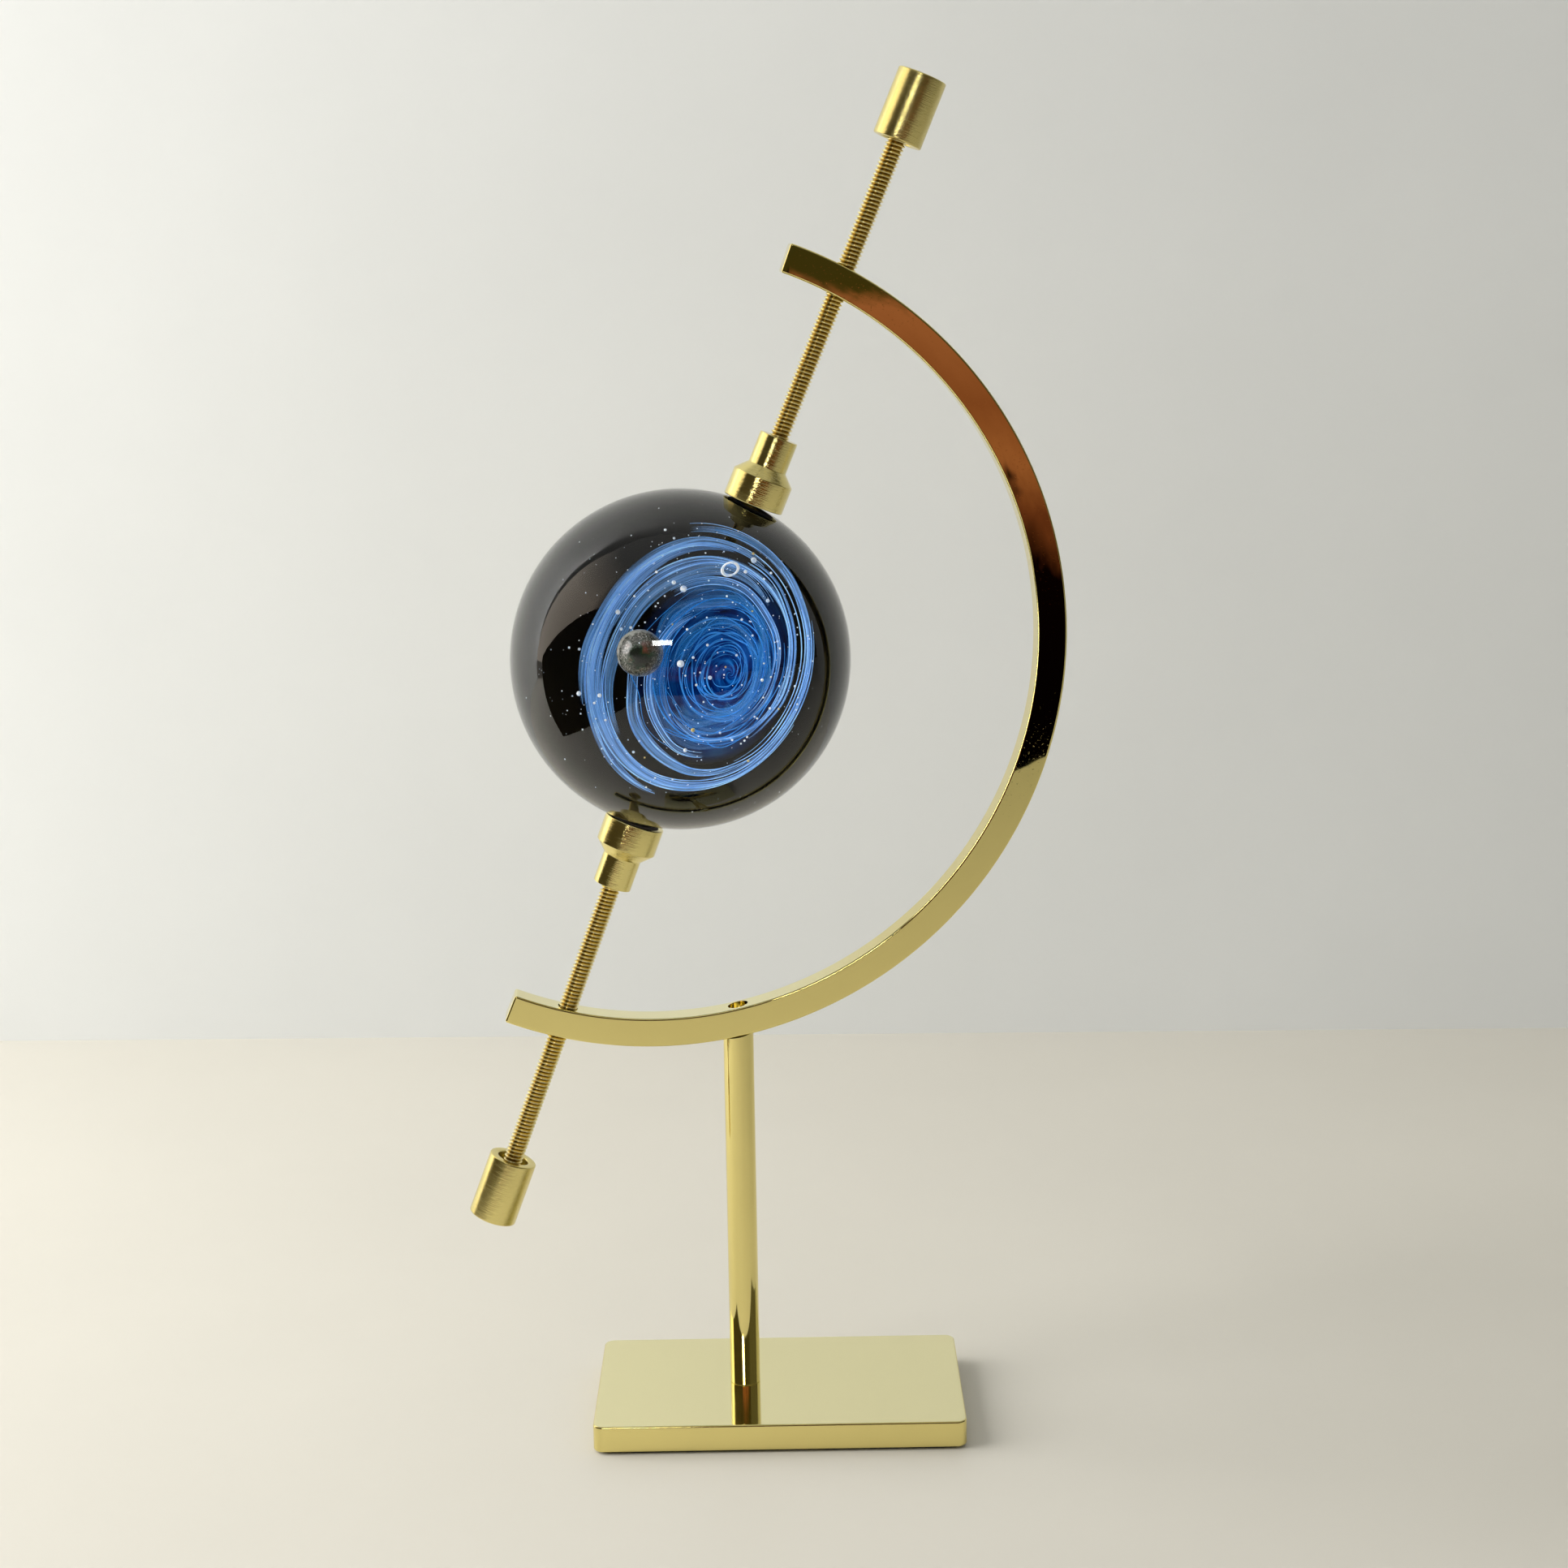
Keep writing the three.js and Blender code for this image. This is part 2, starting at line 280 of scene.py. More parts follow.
def felt():
    """Black felt: fibre noise and a soft sheen."""
    material, n = new_material("felt")
    place = n.place()
    fibres = n.noise(n.scaled(place, (900.0, 2400.0, 900.0)), 1.0, detail=6.0, distortion=2.0)
    n.finish(
        Base_Color=n.ramp(fibres, [(0.3, (0.008, 0.008, 0.007)), (0.7, (0.035, 0.033, 0.030))]),
        Roughness=0.95,
        Normal=n.bump(fibres, 0.0002, 0.8),
        Sheen_Weight=0.3,
    )
    return material


def seat_rubber():
    """Dark matte rubber of the rings that the marble rests against."""
    material, n = new_material("seat_rubber")
    speckle = n.noise(n.place(), 3000.0, detail=3.0)
    n.finish(
        Base_Color=n.ramp(speckle, [(0.35, (0.025, 0.019, 0.012)), (0.7, (0.060, 0.045, 0.028))]),
        Roughness=0.7,
        Normal=n.bump(speckle, 0.00003, 0.5),
    )
    return material


def clear_glass():
    """Polished clear glass with a few faint wipe marks that only touch its roughness."""
    material, n = new_material("clear_glass")
    wipes = n.noise(n.scaled(n.place(), (60.0, 240.0, 60.0)), 1.0, detail=3.0, distortion=1.0)
    n.finish(
        Base_Color=(0.97, 0.98, 1.0, 1.0),
        Roughness=n.ramp(wipes, [(0.60, (0.0, 0.0, 0.0)), (0.90, (0.02, 0.02, 0.02))]),
        IOR=1.5,
        Specular_IOR_Level=0.62,
        Transmission_Weight=1.0,
    )
    return material


def dark_glass():
    """Near-black glass behind the galaxy, with faint blue and violet clouds."""
    material, n = new_material("dark_glass")
    clouds = n.noise(n.place(), 70.0, detail=4.0, distortion=0.6)
    n.finish(
        Base_Color=n.ramp(
            clouds,
            [
                (0.42, (0.0016, 0.0014, 0.0018)),
                (0.62, (0.003, 0.003, 0.007)),
                (0.85, (0.010, 0.013, 0.035)),
            ],
        ),
        Roughness=1.0,
        Specular_IOR_Level=0.0,
    )
    return material


def strand_glass(name, pale, deep, glow):
    """Milky coloured glass of the galaxy's threads, from a deep to a pale blue along them."""
    material, n = new_material(name)
    milky = n.noise(n.place(), 260.0, detail=4.0, roughness=0.6)
    colour = n.ramp(milky, [(0.30, deep), (0.55, pale), (0.80, tuple(min(1, c * 1.4) for c in pale))])
    n.finish(
        Base_Color=colour,
        Roughness=1.0,
        Specular_IOR_Level=0.0,
        # The emission is painted light: the threads are no lamp.
        Emission_Color=colour,
        Emission_Strength=glow,
    )
    return material


def veil_glass(name, colour, strength, glow):
    """Thin veil of milky glass: fine streaks along it, pale bright edges, by its own UV map."""
    material, n = new_material(name)
    uv = n.node("ShaderNodeSeparateXYZ", {"Vector": n.place("UV")})
    along, across = uv.outputs[0], uv.outputs[1]
    streak_place = n.node(
        "ShaderNodeCombineXYZ",
        {0: n.math("MULTIPLY", along, 3.0), 1: n.math("MULTIPLY", across, 7.0)},
    ).outputs[0]
    streaks = n.noise(streak_place, 1.0, detail=3.0, roughness=0.55)
    cloudy = n.noise(n.place(), 180.0, detail=2.0)
    arch = n.times(across, n.math("SUBTRACT", 1.0, across), 4.0)
    rim = n.math("MULTIPLY", n.math("COMPARE", arch, 0.28, 0.20), 0.55)
    body = n.math("ADD", n.math("POWER", arch, 0.8), rim)
    ends = n.math("MULTIPLY", n.times(along, n.math("SUBTRACT", 1.0, along)), 12.0, clamp=True)
    texture = n.math("MULTIPLY", grey(n, streaks, 0.05, 1.55), grey(n, cloudy, 0.25, 1.55))
    alpha = n.math("MULTIPLY", n.times(body, ends, texture), strength, clamp=True)
    dim, light = tuple(c * 0.5 for c in colour), tuple(c + 0.25 * (1 - c) for c in colour)
    tone = n.ramp(streaks, [(0.32, dim), (0.52, colour), (0.74, light)])
    n.finish(
        Base_Color=tone,
        Roughness=1.0,
        Specular_IOR_Level=0.0,
        Alpha=alpha,
        # The emission is painted light: the veil is no lamp.
        Emission_Color=tone,
        Emission_Strength=glow,
    )
    return material


def nebula():
    """Deep blue cloud at the heart of the funnel, streaked round it and black at its rim."""
    material, n = new_material("nebula")
    parts = n.node("ShaderNodeSeparateXYZ", {"Vector": n.place()})
    x, y = parts.outputs[0], parts.outputs[1]
    radius = n.length(x, y)
    wobble = n.noise(n.place(), 120.0, detail=3.0)
    angle = n.math("ARCTAN2", y, x)
    wound = n.math("SUBTRACT", angle, n.math("MULTIPLY", n.math("LOGARITHM", radius, math.e), 1.6))
    turns = n.math("ADD", radius, n.math("MULTIPLY", wobble, mm(1.4)))
    streak_place = n.node(
        "ShaderNodeCombineXYZ",
        {
            0: n.math("MULTIPLY", turns, 1500.0),
            1: n.math("MULTIPLY", n.math("COSINE", wound), 1.1),
            2: n.math("MULTIPLY", n.math("SINE", wound), 1.1),
        },
    ).outputs[0]
    streaks = n.noise(streak_place, 1.0, detail=4.0, roughness=0.62)
    broad = n.noise(n.scaled(streak_place, (0.22, 1.3, 1.3)), 1.0, detail=2.0)
    share = n.math("DIVIDE", radius, mm(FUNNEL["mouth"]))
    fade = n.ramp(share, [(0.20, (1, 1, 1)), (0.42, (0.6, 0.6, 0.6)), (FUNNEL["cloud"], (0, 0, 0))])
    light = n.math("MULTIPLY", n.math("ADD", streaks, n.math("MULTIPLY", broad, 0.9)), 0.55)
    colour = n.ramp(
        light,
        [
            (0.34, (0.0005, 0.0015, 0.008)),
            (0.47, (0.001, 0.020, 0.13)),
            (0.60, (0.004, 0.085, 0.34)),
            (0.74, (0.02, 0.22, 0.62)),
            (0.90, (0.12, 0.42, 0.86)),
        ],
    )
    shown = n.mix(1.0, colour, fade, blend="MULTIPLY")
    n.finish(
        Base_Color=shown,
        Roughness=1.0,
        Specular_IOR_Level=0.0,
        # The emission is painted light: the cloud is no lamp.
        Emission_Color=shown,
        Emission_Strength=0.30,
    )
    return material


def bubble_painted_glint():
    """Bright shell of a trapped bubble: a painted glint, tinted at random from pale blue to white, that
    glows.
    """
    material, n = new_material("bubble_painted_glint")
    tint = n.noise(n.place(), 1600.0, detail=1.0)
    colour = n.ramp(tint, [(0.35, (0.50, 0.64, 0.84)), (0.55, (0.88, 0.94, 1.0))])
    # White shell and emission: a painted glint; the bubble is no lamp.
    n.finish(Base_Color=colour, Roughness=0.12, Emission_Color=colour, Emission_Strength=0.30)
    return material


def gold_speck():
    """Metallic gold and olive flecks fused into the glass."""
    material, n = new_material("gold_speck")
    tint = n.noise(n.place(), 900.0, detail=2.0)
    colour = n.ramp(tint, [(0.3, (0.55, 0.36, 0.08)), (0.7, (0.85, 0.72, 0.30))])
    # The emission is painted light: the flecks are no lamp.
    n.finish(Base_Color=colour, Metallic=0.6, Roughness=0.3, Emission_Color=colour, Emission_Strength=0.15)
    return material


def opal_stone(radius):
    """Opal: a dark green heart along its own Y axis, grey speckle round it, a little red fire."""
    material, n = new_material("opal_stone")
    parts = n.node("ShaderNodeSeparateXYZ", {"Vector": n.place()})
    x, z = parts.outputs[0], parts.outputs[2]
    off_axis = n.length(x, z)
    cells = n.node("ShaderNodeTexVoronoi", {"Vector": n.place(), "Scale": 6500.0, "Randomness": 1.0})
    pick = n.node("ShaderNodeSeparateColor", {"Color": cells.outputs["Color"]}).outputs[0]
    fire = n.noise(n.place(), 520.0, detail=2.0)
    stray = n.math("MULTIPLY", n.math("SUBTRACT", n.noise(n.place(), 700.0, detail=3.0), 0.5), 0.5)
    share = n.math("ADD", n.math("DIVIDE", off_axis, radius), stray)
    speckle = n.ramp(
        pick,
        [(0.0, (0.03, 0.034, 0.03)), (0.6, (0.08, 0.082, 0.072)), (1.0, (0.30, 0.29, 0.26))],
    )
    heart = n.ramp(
        fire,
        [(0.40, (0.002, 0.003, 0.002)), (0.54, (0.004, 0.035, 0.012)), (0.70, (0.22, 0.05, 0.03))],
    )
    rim = n.ramp(share, [(0.35, (0.04, 0.04, 0.04)), (0.72, (0.75, 0.75, 0.75)), (1.0, (1.0, 1.0, 1.0))])
    edge = n.ramp(share, [(0.90, (0, 0, 0)), (1.08, (0.5, 0.5, 0.5))])
    colour = n.mix(edge, n.mix(rim, heart, speckle), (0.55, 0.56, 0.52, 1.0))
    n.finish(
        Base_Color=colour,
        Roughness=0.2,
        Coat_Weight=0.4,
        Emission_Color=colour,
        # The emission is painted light: the opal is no lamp.
        Emission_Strength=0.15,
    )
    return material


# ---------------- mesh helpers


def new_object(name, mesh, material, sharp_angle=35.0):
    """An object from a mesh, smooth apart from edges sharper than the given angle."""
    made = bpy.data.objects.new(name, mesh)
    bpy.context.scene.collection.objects.link(made)
    mesh.materials.append(material)
    mesh.shade_smooth()
    mesh.set_sharp_from_angle(angle=math.radians(sharp_angle))
    return made


def mesh_from(name, vertices, faces):
    mesh = bpy.data.meshes.new(name)
    mesh.from_pydata([tuple(v) for v in vertices], [], faces)
    bm = bmesh.new()
    bm.from_mesh(mesh)
    bmesh.ops.recalc_face_normals(bm, faces=bm.faces)
    bm.to_mesh(mesh)
    bm.free()
    return mesh


def skin(rings, closed_along=False, first=0):
    """Faces over rings of equal length, whose vertices are numbered from first.

    The two ends are filled unless the rings close on themselves.
    """
    count = len(rings[0])
    faces = []
    steps = len(rings) if closed_along else len(rings) - 1
    for i in range(steps):
        a, b = first + i * count, first + (i + 1) % len(rings) * count
        for j in range(count):
            k = (j + 1) % count
            faces.append((a + j, a + k, b + k, b + j))
    if not closed_along:
        last = first + steps * count
        faces.append(tuple(range(first, first + count)))
        faces.append(tuple(range(last, last + count)))
    return faces


def rings_mesh(name, rings, closed_along=False):
    vertices = [v for ring in rings for v in ring]
    return mesh_from(name, vertices, skin(rings, closed_along))


def circle(radius, height, sides):
    """Ring of points round the Z axis."""
    angles = (2 * math.pi * i / sides for i in range(sides))
    return [mm(radius * math.cos(a), radius * math.sin(a), height) for a in angles]


def softened(points, radius, steps=4):
    """A profile with each inner corner of 30 degrees or more rounded by an arc of about the radius."""
    made = [points[0]]
    for before, corner, after in zip(points, points[1:], points[2:]):
        c = np.array(corner, float)
        to_before, to_after = np.array(before) - c, np.array(after) - c
        lengths = np.linalg.norm(to_before), np.linalg.norm(to_after)
        u, v = to_before / lengths[0], to_after / lengths[1]
        bend = math.pi - math.acos(np.clip(u @ v, -1, 1))
        cut = min(radius * math.tan(bend / 2), 0.45 * lengths[0], 0.45 * lengths[1])
        if bend < math.radians(30) or cut < 1e-6:
            made.append(corner)
            continue
        start, end = c + u * cut, c + v * cut
        for i in range(steps + 1):
            t = i / steps
            made.append(tuple((1 - t) ** 2 * start + 2 * t * (1 - t) * c + t**2 * end))
    made.append(points[-1])
    return made


def lathe(name, profile, matrix, material, sides=TURNED_SIDES):
    """A piece turned about its own Z axis from a profile of (radius, height) in millimetres.

    A profile that ends where it starts is a ring. One that starts and ends on the axis is solid, and
    its points there are kept a hair off the axis.
    """
    ring_like = profile[0] == profile[-1]
    used = profile[:-1] if ring_like else profile
    rings = [circle(max(radius, AXIS_TIP), height, sides) for radius, height in used]
    made = new_object(name, rings_mesh(name, rings, closed_along=ring_like), material)
    made.matrix_world = matrix
    return made


def cut_out(target, cutters):
    """Cuts closed cutter objects out of the target, for good, and removes them."""
    for cutter in cutters:
        modifier = target.modifiers.new("cut", "BOOLEAN")
        modifier.operation = "DIFFERENCE"
        modifier.solver = "EXACT"
        modifier.object = cutter
    bpy.context.view_layer.update()
    evaluated = target.evaluated_get(bpy.context.evaluated_depsgraph_get())
    mesh = bpy.data.meshes.new_from_object(evaluated)
    target.modifiers.clear()
    target.data = mesh
    mesh.shade_smooth()
    mesh.set_sharp_from_angle(angle=math.radians(35))
    for cutter in cutters:
        bpy.data.objects.remove(cutter)


def drill(name, radius, low, high, matrix, material):
    """A cutter for a round hole from low to high along the Z axis of the matrix."""
    profile = [(0, low), (radius, low), (radius, high), (0, high)]
    return lathe(name, profile, matrix, material, sides=DRILLED_SIDES)


def weighted_normals(target):
    """Keeps big flat faces flat to the eye beside their rounded edges."""
    modifier = target.modifiers.new("flat_faces", "WEIGHTED_NORMAL")
    modifier.keep_sharp = True
    modifier.weight = 100


# ---------------- stand


def rounded_outline(half_x, half_y, corner, steps=8):
    """Points of a rectangle with round corners, counter-clockwise."""
    points = []
    for quarter, (sx, sy) in enumerate([(1, -1), (1, 1), (-1, 1), (-1, -1)]):
        for i in range(steps + 1):
            a = math.radians(-90 + 90 * quarter + 90 * i / steps)
            x = sx * (half_x - corner) + corner * math.cos(a)
            y = sy * (half_y - corner) + corner * math.sin(a)
            points.append((x, y))
    return points


def base_plate(material):
    """The plate, with quarter-round edges above and below."""
    edge, steps = PLATE["edge"], 5
    levels = []
    for i in range(steps + 1):
        a = math.radians(90 * i / steps)
        levels.append((edge * (1 - math.sin(a)), PLATE["bottom"] + edge * (1 - math.cos(a))))
    for i in range(steps + 1):
        a = math.radians(90 * i / steps)
        levels.append((edge * (1 - math.cos(a)), PLATE["top"] - edge * (1 - math.sin(a))))
    rings = []
    for inset, height in levels:
        outline = rounded_outline(
            PLATE["width"] / 2 - inset, PLATE["depth"] / 2 - inset, PLATE["corner"] - inset
        )
        rings.append([mm(x, y, height) for x, y in outline])
    plate = new_object("base_plate_polished", rings_mesh("base_plate", rings), material, 60)
    screw_low, screw_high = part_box("base_screw")
    radius = (screw_high.x - screw_low.x) * 1000 / 2 + SCREW_HOLE["play"]
    place = Matrix.Translation((post_x, 0, 0))
    hole = drill("screw_hole", radius, 0, SCREW_HOLE["top"], place, material)
    cut_out(plate, [hole])
    weighted_normals(plate)
    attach(plate, "stand")
    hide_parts("base_plate")


def bar_section():
    """The bar's square section as (out, across) from its middle line, with rounded corners."""
    half = BAR["side"] / 2
    return rounded_outline(half, half, BAR["edge"], steps=4)


def bar_height_over_post(radius):
    return BAR["z"] - math.sqrt(radius**2 - BAR["x"] ** 2)


def bar_ring(angle, inset):
    """The bar's section at an angle round its arc, shrunk by an inset where its end is softened."""
    shrink = 1 - inset / (BAR["side"] / 2)
    points = []
    for out, across in bar_section():
        reach = BAR["middle"] + out * shrink
        x = BAR["x"] + reach * math.cos(angle)
        z = BAR["z"] + reach * math.sin(angle)
        points.append(mm(x, across * shrink, z))
    return points


def bar_end(angle, inwards):
    """Rings that soften one end of the bar, from its face. inwards is 1 or -1, the way to its middle."""
    edge, steps = BAR["edge"], 4
    rings = []
    for i in range(steps + 1):
        a = math.radians(90 * i / steps)
        ahead = edge / BAR["middle"] * (1 - math.cos(a))
        rings.append(bar_ring(angle + inwards * ahead, edge * (1 - math.sin(a))))
    return rings


def half_circle_bar(material):
    """The square bar swept round its arc, its ends softened, with the two rod holes and the stud hole."""
    steps = 220
    edge_angle = BAR["edge"] / BAR["middle"]
    first, last = BAR_FROM + edge_angle, BAR_TO - edge_angle
    middle = [bar_ring(first + (last - first) * i / steps, 0) for i in range(1, steps)]
    rings = bar_end(BAR_FROM, 1) + middle + bar_end(BAR_TO, -1)[::-1]
    bar = new_object("half_circle_bar_polished", rings_mesh("half_circle_bar", rings), material, 60)
    bar.matrix_world = head_matrix
    reach = BAR["side"] * 2
    low, high = BAR_INNER - reach, BAR_OUTER + reach
    holes = [
        drill(f"{side}_hole", HOLE_RADIUS, low, high, clamp_matrix(side), material)
        for side in ("upper", "lower")
    ]
    below = bar_height_over_post(BAR_OUTER) - 2
    holes.append(drill("stud_hole", HOLE_RADIUS, below, below + 2 * reach, head_matrix, material))
    cut_out(bar, holes)
    weighted_normals(bar)
    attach(bar, "stand")
    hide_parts("half_circle_bar")


def post(material):
    """Round post, its top coped to the bar, its foot relieved by a hair so that a seam shows."""
    top = bar_height_over_post(BAR_OUTER)
    radius = POST["radius"]
    foot = PLATE["top"] + POST["foot_gap"]
    profile = softened(
        [(0, foot), (radius, foot), (radius, top + radius), (0, top + radius)], POST["seam"]
    )
    made = lathe("post_polished", profile, head_matrix, material)
    across, reach = BAR_OUTER + POST["cope_gap"], 2 * radius
    bar_middle = Matrix.Translation(mm(BAR["x"], 0, BAR["z"])) @ Matrix.Rotation(math.pi / 2, 4, "X")
    cope = lathe(
        "cope",
        [(0, -reach), (across, -reach), (across, reach), (0, reach)],
        head_matrix @ bar_middle,
        material,
        sides=COPE_SIDES,
    )
    cut_out(made, [cope])
    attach(made, "stand")
    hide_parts("post")


# ---------------- clamps


def thread_radius(phase):
    """Radius of a 60 degree thread with a narrow crest and root, phase from 0 to 1 over one pitch."""
    rise = np.clip((0.5 - abs(phase - 0.5)) * 2 * THREAD["steep"] - THREAD["flat"], 0, 1)
    return THREAD["root"] + (THREAD["crest"] - THREAD["root"]) * rise


def threaded_rod(side, material):
    """Rod with a real right-hand helical thread, a plain journal inside and a blunt outer end."""
    start, end = ROD_SHOULDER, KNOB["from"] + ROD_IN_KNOB
    sides, pitch = THREAD["sides"], THREAD["pitch"]
    rows = int((end - start) / pitch * THREAD["rows"])
    rings = [
        circle(THREAD_TIP, JOURNAL["from"], sides),
        circle(JOURNAL["radius"], JOURNAL["from"], sides),
        circle(JOURNAL["radius"], start, sides),
    ]
    for i in range(rows + 1):
        height = start + (end - start) * i / rows
        ring = []
        for j in range(sides):
            angle = 2 * math.pi * j / sides
            phase = (height / pitch - j / sides) % 1.0
            radius = thread_radius(phase)
            ring.append(mm(radius * math.cos(angle), radius * math.sin(angle), height))
        rings.append(ring)
    rings.append(circle(THREAD_TIP, end, sides))
    rod = new_object(f"{side}_threaded_rod", rings_mesh(f"{side}_rod", rings), material, 50)
    rod.matrix_world = clamp_matrix(side)
    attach(rod, f"{side}_spindle")
    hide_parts(f"{side}_rod")


def cup(side, material):
    """Stepped cup: wide rim round the marble, 45 degree shoulder, thin neck over the rod."""
    outside = [
        (CUP_BORE["pocket"], CUP["rim"]),
        (CUP["radius"], CUP["rim"]),
        (CUP["radius"], CUP["shoulder"]),
        (CUP["thin"], CUP["neck"]),
        (CUP["thin"], CUP["end"]),
        (HOLE_RADIUS, CUP["end"]),
    ]
    inside = [
        (HOLE_RADIUS, ROD_SHOULDER - 0.1),
        (CUP_BORE["journal"], ROD_SHOULDER - 0.1),
        (CUP_BORE["journal"], CUP_BORE["recess_end"]),
        (CUP_BORE["recess"], CUP_BORE["recess_end"]),
        (CUP_BORE["recess"], CUP_BORE["seat_end"]),
        (CUP_BORE["pocket"], CUP_BORE["seat_end"]),
        (CUP_BORE["pocket"], CUP["rim"]),
    ]
    profile = softened(outside, 0.14) + inside
    made = lathe(f"{side}_cup_turned", profile, clamp_matrix(side), material)
    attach(made, f"{side}_clamp")
    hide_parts(f"{side}_cup")


def knob(side, material):
    """Round knob with a counterbored mouth for the rod."""
    thread_hole = THREAD["crest"] + 0.03
    bottom = KNOB["from"] + ROD_IN_KNOB + 0.05
    mouth = KNOB["from"] + KNOB["mouth_depth"]
    profile = softened(
        [
            (0, KNOB["to"]),
            (KNOB["radius"], KNOB["to"]),
            (KNOB["radius"], KNOB["from"]),
            (KNOB["mouth"], KNOB["from"]),
            (KNOB["mouth"], mouth),
            (thread_hole, mouth),
            (thread_hole, bottom),
            (0, bottom),
        ],
        0.28,
    )
    made = lathe(f"{side}_knob_turned", profile, clamp_matrix(side), material)
    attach(made, f"{side}_spindle")
    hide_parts(f"{side}_knob")


# ---------------- marble

FUNNEL = {"mouth": 14.3, "throat": 0.05, "depth": 2.2, "centre": (3.9, 1.4, -1.4), "cloud": 0.72}
FUNNEL_TILT = {"long_axis": 54.0, "lean": -33.0}

DARK_BACK = {"outer": 26.7, "inner": 25.7, "steps": 48}
CLOUD = {"steps": 60, "sides": 160, "thick": 0.25}
RING_BUBBLE = {"place": (6.8, -7.0, 12.6), "across": 1.15, "thick": 0.22, "squash": 0.72, "turn": 35.0}
# Specks in the glass: their sizes, how far out they spread, and their heights over the funnel, or in
# front of the marble's middle if they are centred there.
SPECKS = {
    "fine_bubbles": {"count": 260, "sizes": (0.05, 0.17), "spread": 15.5, "heights": (0.4, 9.0)},
    "stray_bubbles": {
        "count": 150, "sizes": (0.04, 0.13), "spread": 25.0, "heights": (3.0, 22.0), "centred": True
    },
    "large_bubbles": {"count": 12, "sizes": (0.22, 0.46), "spread": 14.5, "heights": (1.0, 8.0)},
    "gold_flecks": {"count": 10, "sizes": (0.10, 0.26), "spread": 14.0, "heights": (0.4, 5.0)},
}
SEED = 7

# The broad ribbons of milky glass lie in bands, from the mouth inwards. A course has stations along it:
# the angle round the funnel, the distance from its middle as a share of the mouth, and the width.
RIBBON_BANDS = [
    {"count": 6, "share": 1.03, "inwards": 0.15, "width": (1.1, 2.5), "sweep": (120, 210)},
    {"count": 4, "share": 0.86, "inwards": 0.20, "width": (0.8, 1.5), "sweep": (120, 200)},
    {"count": 3, "share": 0.68, "inwards": 0.20, "width": (0.6, 1.1), "sweep": (110, 190)},
]
RIBBON = {"stations": 8, "waver": 0.014, "end_width": 0.3, "golden_turn": 137.5}


def funnel_matrix():
    """Funnel frame: its X is the ellipse's long way in the front view, its Z leans off the view line."""
    facing = Matrix.Rotation(math.pi / 2, 4, "X")
    spin = Matrix.Rotation(math.radians(FUNNEL_TILT["long_axis"]), 4, "Z")
    lean = Matrix.Rotation(math.radians(FUNNEL_TILT["lean"]), 4, "X")
    return Matrix.Translation(marble_centre + mm(*FUNNEL["centre"])) @ facing @ spin @ lean


def funnel_drop(radius):
    """Depth below the funnel's mouth at a radius, both in millimetres."""
    share = max(0.0, 1 - radius / FUNNEL["mouth"])
    return -FUNNEL["depth"] * share**1.5


def on_marble(made, slot, *nodes):
    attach(made, "marble")
    if nodes:
        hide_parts(*nodes)
    return made


def ball(name, radius, matrix, material, segments=96):
    mesh = bpy.data.meshes.new(name)
    bm = bmesh.new()
    bmesh.ops.create_uvsphere(bm, u_segments=segments, v_segments=segments // 2, radius=mm(radius))
    bm.to_mesh(mesh)
    bm.free()
    made = new_object(name, mesh, material, 180)
    made.matrix_world = matrix
    return made


def marble_backing(material):
    """Dark bowl just inside the glass, over the half that faces away from the viewer."""
    angles = [math.radians(90 * i / DARK_BACK["steps"]) for i in range(DARK_BACK["steps"] + 1)]
    outer, inner = (
        [(DARK_BACK[face] * math.sin(a), DARK_BACK[face] * math.cos(a)) for a in angles]
        for face in ("outer", "inner")
    )
    profile = outer + inner[::-1]
    matrix = Matrix.Translation(marble_centre) @ Matrix.Rotation(-math.pi / 2, 4, "X")
    made = lathe("marble_dark_back", profile, matrix, material)
    on_marble(made, "glass_dark", "marble_backing")


def nebula_funnel(material):
    """Thin funnel that carries the deep blue cloud."""
    top, under = [], []
    for i in range(CLOUD["steps"] + 1):
        reach = FUNNEL["mouth"] * FUNNEL["cloud"] - FUNNEL["throat"]
        radius = FUNNEL["throat"] + reach * i / CLOUD["steps"]
        drop = funnel_drop(radius)
        top.append((radius, drop))
        under.append((radius, drop - CLOUD["thick"]))
    profile = top + under[::-1] + [top[0]]
    made = lathe("galaxy_cloud", profile, funnel_matrix(), material, sides=CLOUD["sides"])
    on_marble(made, "glass_swirl", "galaxy_swirl")


def tube(points, radii, sides=6):
    """Rings of a thin tube along points, tapered by its radii."""
    rings = []
    up = Vector((0, 0, 1))
    for i, (point, radius) in enumerate(zip(points, radii)):
        ahead = points[min(i + 1, len(points) - 1)] - points[max(i - 1, 0)]
        tangent = ahead.normalized()
        side = tangent.cross(up).normalized()
        other = side.cross(tangent)
        rings.append(
            [
                point + side * radius * math.cos(a) + other * radius * math.sin(a)
                for a in (2 * math.pi * k / sides for k in range(sides))
            ]
        )
    return rings


def smooth_between(stations, t):
    """Stations of a course blended smoothly at t from 0 to 1."""
    reach = t * (len(stations) - 1)
    i = min(int(reach), len(stations) - 2)
    share = reach - i
    before, a, b, after = (stations[min(max(k, 0), len(stations) - 1)] for k in (i - 1, i, i + 1, i + 2))
    blended = []
    for p, q, r, s in zip(before, a, b, after):
        bend = (2 * p - 5 * q + 4 * r - s) * share**2 + (3 * q - p - 3 * r + s) * share**3
        blended.append(0.5 * (2 * q + (r - p) * share + bend))
    return blended


